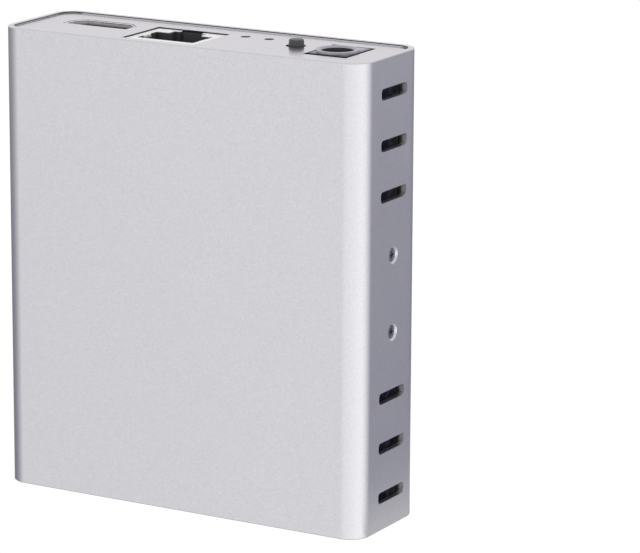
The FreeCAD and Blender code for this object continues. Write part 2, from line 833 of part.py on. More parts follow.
def make_network_shield():
    body = new_body("network_jack_shield")
    outline = new_sketch(body, "shield_outline", "XY_Plane", "network_low")
    draw_box(outline, "network_place - network_width / 2", "network_near",
             "network_place + network_width / 2", "board_face")
    pad(body, outline, "network_length", "shield_box")
    hollow = new_sketch(body, "shield_hollow", "XY_Plane", "network_low + shield_gauge")
    draw_box(hollow, "network_place - network_width / 2 + shield_gauge",
             "network_near + shield_gauge",
             "network_place + network_width / 2 - shield_gauge", "board_face + 1")
    pocket(body, hollow, "network_length - shield_gauge * 2", "shield_inside",
           backwards=True)
    mouth = new_sketch(body, "shield_mouth", "XY_Plane", "port_top")
    draw_plug_outline(mouth, "0", "board_face + shield_gauge")
    pocket(body, mouth, "shield_gauge * 2", "shield_opening")
    finger = new_sketch(body, "finger_profile", "XZ_Plane", "-(plug_front + plug_back) / 2")
    edge = "network_place + plug_width / 2"
    tip = "port_top - finger_length"
    draw_polygon(finger, [
        (edge, "port_top"), (edge, "port_top - shield_gauge"),
        (f"{edge} - finger_lean + shield_gauge", tip), (f"{edge} - finger_lean", tip),
        (f"{edge} - shield_gauge", "port_top - shield_gauge"),
        (f"{edge} - shield_gauge / 2", "port_top")])
    pad(body, finger, "finger_width", "finger_right", both_ways=True)
    other = new_sketch(body, "finger_profile_left", "XZ_Plane",
                       "-(plug_front + plug_back) / 2")
    edge = "network_place - plug_width / 2"
    draw_polygon(other, [
        (edge, "port_top"), (f"{edge} + shield_gauge / 2", "port_top"),
        (f"{edge} + shield_gauge", "port_top - shield_gauge"),
        (f"{edge} + finger_lean", tip), (f"{edge} + finger_lean - shield_gauge", tip),
        (edge, "port_top - shield_gauge")])
    pad(body, other, "finger_width", "finger_left", both_ways=True)


def make_network_housing():
    body = new_body("network_jack_housing")
    outline = new_sketch(body, "housing_outline", "XY_Plane", "network_low + shield_skin")
    draw_box(outline, "network_place - network_width / 2 + shield_skin",
             "network_near + shield_skin",
             "network_place + network_width / 2 - shield_skin", "board_face")
    pad(body, outline, "network_length - 2 * shield_skin", "housing_block")
    mouth = new_sketch(body, "housing_mouth", "XY_Plane", "port_top - shield_skin")
    draw_plug_outline(mouth, "running_gap", "latch_back + catch_height")
    pocket(body, mouth, "plug_depth", "housing_cavity")


def make_network_wires():
    """Each wire lies on the near wall and folds back into the plug's space."""
    body = new_body("network_jack_contacts")
    profile = new_sketch(body, "wire_profile", "YZ_Plane",
                         "network_place - wire_pitch * (wire_count - 1) / 2")
    wall = "plug_front - running_gap"
    fold = "port_top - shield_gauge - plug_depth + wire_length + wire_lead"
    crest = f"{fold} - wire_crest"
    deep = "port_top - shield_gauge - running_gap - plug_depth"
    draw_polygon(profile, [
        (wall, deep), (f"{wall} + wire_gauge", deep),
        (f"{wall} + wire_gauge", f"{fold} - wire_nose"),
        (f"{wall} + wire_reach", crest),
        (f"{wall} + wire_reach + wire_gauge", f"{crest} + wire_gauge"),
        (f"{wall} + wire_gauge", fold), (wall, fold)])
    wire = pad(body, profile, "wire_width", "wire", both_ways=True)
    row_of(body, [wire], "X_Axis", "wire_count", "wire_pitch", "wires")


# Video socket: six-sided shell, moulded tongue and two rows of contacts
def make_video_shell():
    body = new_body("video_socket_shell")
    outline = new_sketch(body, "video_outline", "XY_Plane", "video_low")
    draw_video_outline(outline, "0")
    pad(body, outline, "video_length", "video_can")
    hollow = new_sketch(body, "video_hollow", "XY_Plane", "video_low + video_gauge")
    draw_video_outline(hollow, "-video_gauge")
    pocket(body, hollow, "video_length", "video_inside", backwards=True)


def make_video_tongue():
    body = new_body("video_socket_tongue")
    root = new_sketch(body, "tongue_root_outline", "XY_Plane", "video_low + video_skin")
    draw_video_outline(root, "-video_skin")
    pad(body, root, "tongue_root", "tongue_root_block")
    blade = new_sketch(body, "tongue_blade_outline", "XY_Plane",
                       "video_low + video_gauge + tongue_root")
    draw_box(blade, "video_place - tongue_width / 2", "video_axis - tongue_gauge / 2",
             "video_place + tongue_width / 2", "video_axis + tongue_gauge / 2")
    pad(body, blade, "video_length - video_gauge - tongue_root - tongue_recess",
        "tongue_blade")


def make_video_contacts():
    body = new_body("video_socket_contacts")
    strips = []
    for name, face in (("near", "video_axis - tongue_gauge / 2 - video_contact_gauge"),
                       ("far", "video_axis + tongue_gauge / 2")):
        first = "video_place - video_contact_pitch * (video_contact_count - 1) / 2"
        outline = new_sketch(body, f"contact_{name}_outline", "XY_Plane",
                             "video_low + video_gauge + running_gap * 2 + tongue_root")
        draw_box(outline, f"{first} - video_contact_width / 2", face,
                 f"{first} + video_contact_width / 2", f"{face} + video_contact_gauge")
        strips.append(pad(body, outline, "video_contact_length", f"contact_{name}"))
    row_of(body, strips, "X_Axis", "video_contact_count", "video_contact_pitch",
           "contact_rows")


# Power jack: square block and round barrel, centre pin and side spring
def make_power_body():
    body = new_body("power_jack_body")
    block = new_sketch(body, "power_block_outline", "XY_Plane",
                       "power_top - power_block_length")
    draw_box(block, "power_place - power_width / 2", "board_face - power_height",
             "power_place + power_width / 2", "board_face")
    pad(body, block, "power_block_length", "power_block")
    lip = new_sketch(body, "power_lip_outline", "XY_Plane", "board_top + running_gap * 2")
    draw_box(lip, "power_place - power_width / 2", "board_face - leg_overlap",
             "power_place + power_width / 2", "board_face + power_lip")
    pad(body, lip, "power_top - board_top - running_gap * 2", "power_lip_over_board")
    barrel = new_sketch(body, "power_barrel_outline", "XY_Plane", "power_low")
    draw_circle(barrel, "power_place", "power_axis", "power_barrel")
    pad(body, barrel, "power_length + power_collar_height", "power_barrel_round")
    foot = new_sketch(body, "power_foot_outline", "XY_Plane", "power_low")
    draw_box(foot, "power_place - power_barrel / 2", "power_axis",
             "power_place + power_barrel / 2", "board_face")
    pad(body, foot, "power_length - power_block_length / 2", "power_foot")
    bore = new_sketch(body, "power_bore_outline", "XY_Plane",
                      "power_top + power_collar_height")
    draw_circle(bore, "power_place", "power_axis", "power_bore")
    bored = pocket(body, bore, "power_bore_depth + power_collar_height", "power_bore_cut")
    mouth = edges_where(bored, is_power_mouth)
    dress(body, "PartDesign::Chamfer", bored, mouth, "Size", "power_bore_flare",
          "power_bore_mouth")
    seat = new_sketch(body, "power_pin_seat", "XY_Plane", "power_low")
    draw_circle(seat, "power_place", "power_axis", "power_pin + running_gap * 2")
    pocket(body, seat, "power_length", "power_pin_hole", backwards=True)
    slot = new_sketch(body, "power_spring_slot", "XY_Plane", "power_top - power_bore_depth")
    draw_box(slot, "power_place - power_spring_width / 2 - running_gap",
             "power_axis + power_bore / 4",
             "power_place + power_spring_width / 2 + running_gap",
             "power_axis + power_bore / 2 + power_spring_gauge + running_gap")
    pocket(body, slot, "power_spring_length + running_gap", "power_spring_cut",
           backwards=True)


def is_power_mouth(point, edge):
    """True on the round edge where the bore meets the collar's end."""
    at_end = near(point.z, number("power_top + power_collar_height"))
    return at_end and edge.Length < number("power_bore + power_barrel") * math.pi / 2


def make_power_pin():
    body = new_body("power_jack_pin")
    outline = new_sketch(body, "power_pin_outline", "XY_Plane", "power_low")
    draw_circle(outline, "power_place", "power_axis", "power_pin")
    rod = pad(body, outline, "power_length - power_pin_recess", "power_pin_rod")
    tip = edges_where(rod, lambda point, edge: near(point.z, number(
        "power_top - power_pin_recess")))
    dress(body, "PartDesign::Chamfer", rod, tip, "Size", "power_pin_tip", "power_pin_point")


def make_power_spring():
    """Leaf that lies in the slot and bows towards the pin."""
    body = new_body("power_jack_spring")
    profile = new_sketch(body, "spring_profile", "YZ_Plane", "power_place")
    wall = "power_axis + power_bore / 2"
    low = "power_top - power_bore_depth"
    high = "power_top - power_bore_depth + power_spring_length"
    crest = f"{low} + power_spring_crest"
    draw_polygon(profile, [
        (f"{wall} + power_spring_gauge", low), (f"{wall} + power_spring_gauge", high),
        (wall, high), (f"{wall} - power_spring_lean", crest), (wall, low)])
    pad(body, profile, "power_spring_width", "spring_leaf", both_ways=True)


# Status lamps: side-looking package with a half-round lens
def make_lamp(name, place):
    body = new_body(name)
    outline = new_sketch(body, f"{name}_outline", "XY_Plane", "lamp_top - lamp_length")
    draw_box(outline, f"{place} - lamp_width / 2", "board_face - lamp_height",
             f"{place} + lamp_width / 2", "board_face")
    pad(body, outline, "lamp_length - lamp_lens / 2", f"{name}_base")
    lens = new_sketch(body, f"{name}_lens", "XZ_Plane", "-board_face")
    draw_circle(lens, place, "lamp_top - lamp_lens / 2", "lamp_lens")
    pad(body, lens, "lamp_height", f"{name}_window")


# Push switch: moulded body on legs, cover plate, snap dome and the button itself
def make_switch_body():
    body = new_body("switch_body")
    half = "switch_size / 2"
    outline = new_sketch(body, "switch_outline", "XY_Plane", "switch_low")
    draw_box(outline, f"switch_place - {half}", f"switch_axis - {half}",
             f"switch_place + {half}", f"switch_axis + {half}")
    pad(body, outline, "switch_length - switch_plate", "switch_block")
    for side in ("-", "+"):
        name = "left" if side == "-" else "right"
        leg = new_sketch(body, f"switch_leg_{name}", "XY_Plane", "switch_low")
        middle_x = f"switch_place {side} (switch_size - switch_leg) / 2"
        draw_box(leg, f"{middle_x} - switch_leg / 2", f"switch_axis + {half} - leg_overlap",
                 f"{middle_x} + switch_leg / 2", "board_face")
        pad(body, leg, "switch_length - switch_plate", f"switch_leg_post_{name}")
    well = new_sketch(body, "switch_well", "XY_Plane", "plate_low")
    draw_circle(well, "switch_place", "switch_axis",
                "max(button_flange; dome_width) + running_gap * 4")
    pocket(body, well, "switch_length - switch_plate - switch_wall", "switch_well_cut")


def make_switch_cover():
    body = new_body("switch_cover")
    half = "switch_size / 2"
    outline = new_sketch(body, "cover_outline", "XY_Plane", "plate_low")
    draw_box(outline, f"switch_place - {half}", f"switch_axis - {half}",
             f"switch_place + {half}", f"switch_axis + {half}")
    draw_circle(outline, "switch_place", "switch_axis", "button_stem + running_gap * 2")
    pad(body, outline, "switch_plate", "cover_plate")


def make_switch_dome():
    """Shallow snap disc with a sloped rim, hollow below, in the bottom of the well."""
    body = new_body("switch_dome")
    base = new_sketch(body, "dome_outline", "XY_Plane", "dome_low")
    draw_circle(base, "switch_place", "switch_axis", "dome_width")
    disc = pad(body, base, "dome_height", "dome_disc")
    rim = edges_where(disc, lambda point, edge: near(point.z, number("dome_top")))
    rounded = dress(body, "PartDesign::Chamfer", disc, rim, "Size", "dome_slope_up",
                    "dome_slope")
    rounded.ChamferType = "Two distances"
    bind(rounded, "Size2", "dome_slope_across")
    hollow = new_sketch(body, "dome_hollow_outline", "XY_Plane", "dome_low")
    draw_circle(hollow, "switch_place", "switch_axis", "dome_hollow")
    pocket(body, hollow, "dome_height - dome_gauge", "dome_inside", backwards=True)


def make_button():
    """Tapered stem with a retaining flange and a nose that presses the dome."""
    body = new_body("push_button")
    levels = [("button_nose", "button_low", "flange_low"),
              ("button_flange", "flange_low", "flange_top"),
              ("button_stem", "flange_top", "button_top")]
    for width, low, high in levels:
        outline = new_sketch(body, f"{width}_outline", "XY_Plane", low)
        draw_circle(outline, "switch_place", "switch_axis", width)
        last = pad(body, outline, f"({high}) - ({low})", f"{width}_round")
    bind(last, "TaperAngle", "-button_draft")
    crown = edges_where(last, lambda point, edge: near(point.z, number("button_top")))
    dress(body, "PartDesign::Chamfer", last, crown, "Size", "button_edge", "button_crown")


# Host port in the lower panel: can, moulded insert and four contacts
def make_host_shell():
    body = new_body("host_port_shell")
    half = "host_width / 2"
    outline = new_sketch(body, "host_outline", "XY_Plane", "host_low")
    draw_box(outline, f"host_place - {half}", "host_near", f"host_place + {half}",
             "board_face")
    pad(body, outline, "host_length", "host_can")
    hollow = new_sketch(body, "host_hollow", "XY_Plane", "host_low + host_gauge")
    draw_box(hollow, f"host_place - {half} + host_gauge", "host_near + host_gauge",
             f"host_place + {half} - host_gauge", "board_face - host_gauge")
    pocket(body, hollow, "host_length - host_gauge * 2", "host_inside", backwards=True)
    mouth = new_sketch(body, "host_mouth", "XY_Plane", "host_low")
    draw_host_mouth(mouth, "0")
    pocket(body, mouth, "host_gauge * 2", "host_opening", backwards=True)


def draw_host_mouth(sketch, grow):
    """Square mouth with two bevelled corners on the near side."""
    half = f"host_mouth_width / 2 + ({grow})"
    tall = f"host_mouth_height / 2 + ({grow})"
    bevel = "host_mouth_bevel"
    draw_polygon(sketch, [
        (f"host_place - ({half}) + {bevel}", f"host_axis - ({tall})"),
        (f"host_place + ({half}) - {bevel}", f"host_axis - ({tall})"),
        (f"host_place + ({half})", f"host_axis - ({tall}) + {bevel}"),
        (f"host_place + ({half})", f"host_axis + ({tall})"),
        (f"host_place - ({half})", f"host_axis + ({tall})"),
        (f"host_place - ({half})", f"host_axis - ({tall}) + {bevel}")])


def make_host_insert():
    body = new_body("host_port_insert")
    outline = new_sketch(body, "insert_outline", "XY_Plane", "host_low + host_skin")
    draw_box(outline, "host_place - host_width / 2 + host_skin", "host_near + host_skin",
             "host_place + host_width / 2 - host_skin", "board_face - host_skin")
    pad(body, outline, "host_length - 2 * host_skin", "insert_block")
    cavity = new_sketch(body, "insert_cavity", "XY_Plane", "host_low + host_skin")
    draw_host_mouth(cavity, "running_gap")
    draw_box(cavity, "host_place - host_tongue_width / 2", "host_axis - host_tongue_height / 2",
             "host_place + host_tongue_width / 2", "host_axis + host_tongue_height / 2")
    pocket(body, cavity, "host_mouth_depth", "insert_cavity_cut", backwards=True)


def make_host_contacts():
    """Two strips on each broad face of the tongue."""
    body = new_body("host_port_contacts")
    strips = []
    for name, face in (("near", "host_axis - host_tongue_height / 2 - host_contact_gauge"),
                       ("far", "host_axis + host_tongue_height / 2")):
        outline = new_sketch(body, f"host_contact_{name}_outline", "XY_Plane",
                             "host_low + host_gauge + running_gap + host_tongue_recess")
        left = "host_place - host_contact_pitch / 2 - host_contact_width / 2"
        draw_box(outline, left, face, f"{left} + host_contact_width",
                 f"{face} + host_contact_gauge")
        strips.append(pad(body, outline, "host_contact_length", f"host_contact_{name}"))
    row_of(body, strips, "X_Axis", "2", "host_contact_pitch", "host_contact_rows")


# Chips, heat sink and power parts on the board's component face
def field_place(across, up):
    """A place on the board, as shares of its half width and of its free field."""
    return f"board_side * ({across})", f"field_low + ({up}) * field"


def block_on_board(name, x, z, width, length, height):
    return new_box(name, f"{x} - {width} / 2", f"{x} + {width} / 2", f"board_face - {height}",
                   "board_face", f"{z} - {length} / 2", f"{z} + {length} / 2")


def make_chip(name, across, up, width, length):
    keep(block_on_board(f"box_{name}", *field_place(across, up), width, length,
                        "chip_height"), name)


def make_main_chip():
    keep(block_on_board("box_main_chip", "sink_across", "sink_up", "main_chip_size",
                        "main_chip_size", "main_chip_height"), "main_chip")
    half = "main_chip_size / 2"
    keep(new_box("box_thermal_pad", f"sink_across - {half}", f"sink_across + {half}",
                 "sink_face", "chip_face", f"sink_up - {half}", f"sink_up + {half}"),
         "thermal_pad")


def make_heat_sink():
    body = new_body("heat_sink")
    half = "sink_size / 2"
    base = new_sketch(body, "sink_base_outline", "XZ_Plane", "-sink_face")
    draw_box(base, f"sink_across - {half}", f"sink_up - {half}", f"sink_across + {half}",
             f"sink_up + {half}")
    pad(body, base, "sink_base", "sink_plate")
    fin = new_sketch(body, "fin_outline", "XZ_Plane", "-sink_face + sink_base")
    draw_box(fin, f"sink_across - {half}", f"sink_up - {half}",
             f"sink_across - {half} + fin_gauge", f"sink_up + {half}")
    first = pad(body, fin, "sink_height - sink_base", "fin")
    row_of(body, [first], "X_Axis", "fin_count",
           "(sink_size - fin_gauge) / (fin_count - 1)", "fins")


def make_transformer():
    keep(block_on_board("box_transformer", "network_place",
                        "network_low - transformer_gap - transformer_length / 2",
                        "transformer_width", "transformer_length", "transformer_height"),
         "network_transformer")


def make_cans():
    """Aluminium can capacitors, each on its square foot."""
    places = [("can_across", "port_top - can_drop"), ("can_across", field_place(0, 0.93)[1])]
    cans = []
    for index, (x, z) in enumerate(places):
        foot = block_on_board(f"can_foot_{index}", x, z, "can_width", "can_width", "can_foot")
        can = new_rod(f"can_round_{index}", x, "board_face - can_foot", z, "can_width",
                      "can_height - can_foot", (0, -1, 0))
        cans.append(fuse(f"can_{index}", [foot, can]))
    group("can_capacitors", cans)


def make_coil():
    """Shielded power coil: two square plates and a round waist."""
    x, z = "board_side - coil_size / 2 - board_side_gap", field_place(0, 0.6)[1]
    half = "coil_size / 2"
    lower = block_on_board("coil_lower", x, z, "coil_size", "coil_size", "coil_plate")
    upper = new_box("coil_upper", f"{x} - {half}", f"{x} + {half}", "board_face - coil_height",
                    "board_face - coil_height + coil_plate", f"{z} - {half}", f"{z} + {half}")
    waist = new_rod("coil_waist", x, "board_face", z, "coil_round", "coil_height", (0, -1, 0))
    keep(fuse("coil_solid", [lower, upper, waist]), "power_coil")


def make_small_parts():
    """Small like parts soldered to the board, each kind in one node."""
    ceramic_rows = [(f"sink_across + ({index} - (ceramic_count - 1) / 2) * ceramic_pitch",
                     field_place(0, share)[1])
                    for share in (0.12, 0.17) for index in range(SIZES["ceramic_count"])]
    kinds = [
        ("crystals", "crystal", [field_place(-0.3, 0.25), field_place(-0.8, 0.56)]),
        ("regulator_chips", "regulator", [("standoff_side", field_place(0, 0.33)[1]),
                                          ("standoff_side", field_place(0, 0.2)[1])]),
        ("ceramic_capacitors", "ceramic", ceramic_rows),
        ("power_diode", "diode", [("power_place",
                                   "power_low - diode_gap - diode_length / 2")]),
    ]
    for name, kind, places in kinds:
        group(name, [block_on_board(f"{name}_{index}", x, z, f"{kind}_width",
                                    f"{kind}_length", f"{kind}_height")
                     for index, (x, z) in enumerate(places)])


def check_document():
    """Stop where an object failed or a piece is empty or broken."""
    doc.recompute()
    for item in doc.Objects:
        if "Invalid" in item.State or "Error" in item.State:
            raise RuntimeError(f"{item.Label} failed: {item.State}")
    for item in NODES:
        if item.Shape.isNull() or not item.Shape.isValid() or item.Shape.Volume <= 0:
            raise RuntimeError(f"{item.Label} has no valid solid")


def write_pieces():
    os.makedirs("parts", exist_ok=True)
    for item in NODES:
        item.Shape.exportStep(f"parts/{item.Label}.step")


fill_sheet()
make_sleeve()
make_tray()
make_board()
make_standoffs()
make_board_screws()
make_side_screws()
make_network_shield()
make_network_housing()
make_network_wires()
make_video_shell()
make_video_tongue()
make_video_contacts()
make_power_body()
make_power_pin()
make_power_spring()
make_lamp("power_lamp", "lamp_first")
make_lamp("link_lamp", "lamp_second")
make_switch_body()
make_switch_cover()
make_switch_dome()
make_button()
make_host_shell()
make_host_insert()
make_host_contacts()
for chip in CHIPS:
    make_chip(*chip)
make_main_chip()
make_heat_sink()
make_transformer()
make_cans()
make_coil()
make_small_parts()
check_document()
write_pieces()
for item in NODES:
    print(item.Label, len(item.Shape.Solids), round(item.Shape.Volume, 2))
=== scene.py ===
import json
import math

import bmesh
import bpy
from mathutils import Matrix, Vector


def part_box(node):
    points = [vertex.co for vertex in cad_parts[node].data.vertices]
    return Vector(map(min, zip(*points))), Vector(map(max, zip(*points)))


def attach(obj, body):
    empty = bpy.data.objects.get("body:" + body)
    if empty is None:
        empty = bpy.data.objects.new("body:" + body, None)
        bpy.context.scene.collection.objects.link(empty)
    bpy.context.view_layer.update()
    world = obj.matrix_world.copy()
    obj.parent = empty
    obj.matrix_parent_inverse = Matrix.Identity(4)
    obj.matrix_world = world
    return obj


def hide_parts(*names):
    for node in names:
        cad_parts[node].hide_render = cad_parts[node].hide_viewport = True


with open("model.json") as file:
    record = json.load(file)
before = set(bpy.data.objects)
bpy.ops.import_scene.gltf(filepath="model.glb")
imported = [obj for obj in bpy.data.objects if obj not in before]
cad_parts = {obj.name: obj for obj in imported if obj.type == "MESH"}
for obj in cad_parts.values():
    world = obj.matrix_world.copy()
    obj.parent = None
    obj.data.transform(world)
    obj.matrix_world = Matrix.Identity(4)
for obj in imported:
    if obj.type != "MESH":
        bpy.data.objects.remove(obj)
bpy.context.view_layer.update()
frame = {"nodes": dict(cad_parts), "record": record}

MM = 0.001
NODES = frame["nodes"]
SLOT_OF = {part["node"]: part["material_slot"] for part in frame["record"]["subparts"]}


# ---------------------------------------------------------------- shader nodes
def add(tree, kind, **fields):
    """A new shader node with some of its fields set."""
    node = tree.nodes.new(kind)
    for field, setting in fields.items():
        setattr(node, field, setting)
    return node


def feed(tree, entry, value):
    """Link a socket to an input, or set the input to a number or vector."""
    if isinstance(value, bpy.types.NodeSocket):
        tree.links.new(value, entry)
    else:
        entry.default_value = value


def compute(tree, operation, *values):
    """One math node on sockets and numbers."""
    node = add(tree, "ShaderNodeMath", operation=operation)
    for entry, value in zip(node.inputs, values):
        feed(tree, entry, value)
    return node.outputs["Value"]


def compute_vector(tree, operation, *values):
    """One vector math node on sockets and vectors; both of its results."""
    node = add(tree, "ShaderNodeVectorMath", operation=operation)
    for entry, value in zip(node.inputs, values):
        feed(tree, entry, value)
    return node.outputs


def times(tree, first, second):
    return compute(tree, "MULTIPLY", first, second)


def larger(tree, first, second):
    return compute(tree, "MAXIMUM", first, second)


def spread(tree, source, low, high, start=0.3, end=0.7, **fields):
    """Map a value from start..end to low..high."""
    ranged = add(tree, "ShaderNodeMapRange", **fields)
    for name, number in (("From Min", start), ("From Max", end), ("To Min", low),
                         ("To Max", high)):
        ranged.inputs[name].default_value = number
    tree.links.new(source, ranged.inputs["Value"])
    return ranged.outputs["Result"]


def uneven(tree, source, amount):
    """Map noise to a shade around 1."""
    return spread(tree, source, 1.0 - amount, 1.0 + amount)


def axes_of(tree, vector):
    split = add(tree, "ShaderNodeSeparateXYZ")
    tree.links.new(vector, split.inputs["Vector"])
    return split.outputs


def point_of(tree):
    """The shaded point in the frame of its object, which is the frame of the whole part."""
    return add(tree, "ShaderNodeTexCoord").outputs["Object"]


def normal_of(tree):
    return add(tree, "ShaderNodeNewGeometry").outputs["True Normal"]


def ramp(tree, source, stops, interpolation="LINEAR"):
    """Colour by a value from 0 to 1, through stops of (value, colour)."""
    node = add(tree, "ShaderNodeValToRGB")
    node.color_ramp.interpolation = interpolation
    elements = node.color_ramp.elements
    while len(elements) > 1:
        elements.remove(elements[-1])
    for index, (position, colour) in enumerate(stops):
        stop = elements[0] if index == 0 else elements.new(position)
        stop.position = position
        stop.color = (*colour, 1.0)
    tree.links.new(source, node.inputs["Fac"])
    return node.outputs["Color"]


def blend(tree, share, first, second):
    """The first colour where share is 0, the second where it is 1."""
    mix = add(tree, "ShaderNodeMix", data_type="RGBA")
    for name, value in (("Factor", share), ("A", first), ("B", second)):
        feed(tree, mix.inputs[name], value)
    return mix.outputs["Result"]


def emission(tree, strength):
    glow = add(tree, "ShaderNodeEmission")
    glow.inputs["Strength"].default_value = strength
    return glow.outputs["Emission"]


def show(tree, surface, kind="ShaderNodeOutputMaterial"):
    out = add(tree, kind)
    tree.links.new(surface, out.inputs["Surface"])


# ---------------------------------------------------------------- grain, masks and painted light and shade
def grain(tree, size_mm, detail=3.0):
    """Noise whose marks are about size_mm across, from 0 to 1."""
    noise = add(tree, "ShaderNodeTexNoise")
    noise.inputs["Scale"].default_value = 1.0 / (size_mm * MM)
    noise.inputs["Detail"].default_value = detail
    tree.links.new(point_of(tree), noise.inputs["Vector"])
    return noise.outputs["Fac"]


def painted_shade_and_matt_mask(tree, reach_mm, floor, start=0.25, end=0.9):
    """Painted shade that gathers in gaps and inside corners: 1 in the open, floor deep inside. The
    same occlusion also serves as a mask that turns hidden faces matt.
    """
    hidden = add(tree, "ShaderNodeAmbientOcclusion", samples=8)
    hidden.inputs["Distance"].default_value = reach_mm * MM
    return spread(tree, hidden.outputs["AO"], floor, 1.0, start, end)


def painted_shade_by_facing(tree, stops):
    """Painted light and shade by how far a face turns up or down: 0 for upright faces, 1 for level
    ones.
    """
    turned = compute(tree, "ABSOLUTE", axes_of(tree, normal_of(tree))["Z"])
    return ramp(tree, turned, [(height, (level, level, level)) for height, level in stops])


def below_rim(tree, deep, shallow, deep_mm, shallow_mm):
    """Map depth below the nearer end of the box: deep from deep_mm down, shallow above."""
    low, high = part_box("outer_sleeve")
    half = (high[2] - low[2]) / 2
    from_middle = compute(tree, "SUBTRACT", axes_of(tree, point_of(tree))["Z"], low[2] + half)
    return spread(tree, compute(tree, "ABSOLUTE", from_middle), deep, shallow,
                  half - deep_mm * MM, half - shallow_mm * MM)


def beside(tree, centre_x, centre_y):
    """The level offset of the shaded point from an upright line."""
    offset = compute_vector(tree, "SUBTRACT", point_of(tree), (centre_x, centre_y, 0.0))
    return compute_vector(tree, "MULTIPLY", offset["Vector"], (1.0, 1.0, 0.0))["Vector"]


def painted_inner_rim_shade(tree):
    """Painted shade: a dark line under the rim, on the faces that look towards the middle of the
    box.
    """
    outwards = compute_vector(tree, "DOT_PRODUCT", normal_of(tree), beside(tree, 0.0, 0.0))
    outside = spread(tree, outwards["Value"], low=0.0, high=1.0, start=-0.002, end=0.0)
    return larger(tree, outside,
                  below_rim(tree, deep=1.0, shallow=0.10, deep_mm=0.24, shallow_mm=0.17))


def panel_border(tree):
    """1 on the end panels beside the sleeve's rear and narrow walls, 0 elsewhere."""
    side, rear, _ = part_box("chassis_tray")[1]
    inner, outer = 1.8 * MM, 1.2 * MM
    axes = axes_of(tree, point_of(tree))
    across = compute(tree, "ABSOLUTE", axes["X"])
    border = larger(tree, spread(tree, axes["Y"], 0.0, 1.0, rear - inner, rear - outer),
                    spread(tree, across, 0.0, 1.0, side - inner, side - outer))
    return times(tree, border,
                 below_rim(tree, deep=0.0, shallow=1.0, deep_mm=2.0, shallow_mm=1.5))


def rings_of(node_name, centre_x, centre_y):
    """Height, smallest and largest radius of each ring of corners of a turned solid."""
    rings = {}
    for corner in NODES[node_name].data.vertices:
        radius = math.hypot(corner.co.x - centre_x, corner.co.y - centre_y)
        rings.setdefault(round(corner.co.z, 6), []).append(radius)
    return [(height, min(radii), max(radii)) for height, radii in sorted(rings.items())]


def painted_jack_shade(tree):
    """Painted shade inside the power jack's bore and along the block's edges beside the panel."""
    pin_low, pin_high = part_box("power_jack_pin")
    centre = [(pin_low[axis] + pin_high[axis]) / 2 for axis in (0, 1)]
    rings = rings_of("power_jack_body", *centre)
    radius, collar_foot = rings[-2][1], rings[-3][0]
    (left_end, front_end, _), (right_end, _, _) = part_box("power_jack_body")
    axes = axes_of(tree, point_of(tree))
    away = compute_vector(tree, "LENGTH", beside(tree, *centre))["Value"]
    bore = spread(tree, away, low=0.14, high=1.0, start=radius, end=radius + 0.05 * MM)
    front = spread(tree, axes["Y"], low=0.08, high=1.0,
                   start=front_end + 0.6 * MM, end=front_end + 1.8 * MM)
    right = spread(tree, axes["X"], low=1.0, high=0.10,
                   start=right_end - 1.3 * MM, end=right_end - 0.2 * MM)
    left = spread(tree, axes["X"], low=0.10, high=1.0, start=left_end, end=left_end + 0.8 * MM)
    collar = spread(tree, axes["Z"], low=0.0, high=1.0,
                    start=collar_foot, end=collar_foot + 0.08 * MM)
    edges = times(tree, times(tree, front, right), left)
    return times(tree, bore, larger(tree, edges, collar))


def painted_crown_light(tree):
    """Painted light: a top lighter than the sides."""
    return painted_shade_by_facing(tree, [(0.0, 0.72), (0.45, 0.72), (0.95, 1.0)])


def painted_socket_shade(tree):
    """Painted shade, darker with depth inside the sockets."""
    return below_rim(tree, deep=0.04, shallow=1.0, deep_mm=1.35, shallow_mm=0.45)


# ---------------------------------------------------------------- materials
def new_material(name):
    material = bpy.data.materials.new(name)
    material.use_nodes = True
    tree = material.node_tree
    return material, tree, tree.nodes["Principled BSDF"]


def bare_material(name):
    """A material without nodes yet."""
    material = bpy.data.materials.new(name)
    material.use_nodes = True
    material.node_tree.nodes.clear()
    return material, material.node_tree


def tinted(tree, shader, colour, *shades):
    """Base colour times the product of the shades."""
    shade = shades[0]
    for other in shades[1:]:
        shade = times(tree, shade, other)
    mix = add(tree, "ShaderNodeMix", data_type="RGBA", blend_type="MULTIPLY")
    mix.inputs["Factor"].default_value = 1.0
    mix.inputs["A"].default_value = (*colour, 1.0)
    tree.links.new(shade, mix.inputs["B"])
    tree.links.new(mix.outputs["Result"], shader.inputs["Base Color"])


def rough(tree, shader, source, low, high):
    tree.links.new(spread(tree, source, low, high), shader.inputs["Roughness"])


def bumped(tree, shader, height, depth_mm, strength=0.5):
    bump = add(tree, "ShaderNodeBump")
    bump.inputs["Strength"].default_value = strength
    bump.inputs["Distance"].default_value = depth_mm * MM
    tree.links.new(height, bump.inputs["Height"])
    tree.links.new(bump.outputs["Normal"], shader.inputs["Normal"])


def simple(name, colour, metallic=0.0, roughness=0.5, mark_mm=0.2, unevenness=0.05,
           bump_mm=0.01, reach_mm=1.6, floor=0.5, start=0.25, end=0.9, shade=None):
    """Finish with grain in its colour, gloss and surface, and painted shade in its gaps and inside
    corners.

    shade makes one more mark of painted light and shade, on the finished node tree."""
    cloud_size, gloss_range = 24, 0.04
    material, tree, shader = new_material(name)
    shader.inputs["Metallic"].default_value = metallic
    marks = grain(tree, mark_mm)
    cloud = grain(tree, mark_mm * cloud_size, detail=2.0)
    shades = [uneven(tree, marks, unevenness), uneven(tree, cloud, unevenness)]
    # painted shade in gaps and corners, from ambient occlusion
    shades.append(painted_shade_and_matt_mask(tree, reach_mm, floor, start, end))
    if shade:
        shades.append(shade(tree))
    tinted(tree, shader, colour, *shades)
    rough(tree, shader, cloud, roughness - gloss_range, roughness + gloss_range)
    bumped(tree, shader, marks, bump_mm)
    return material


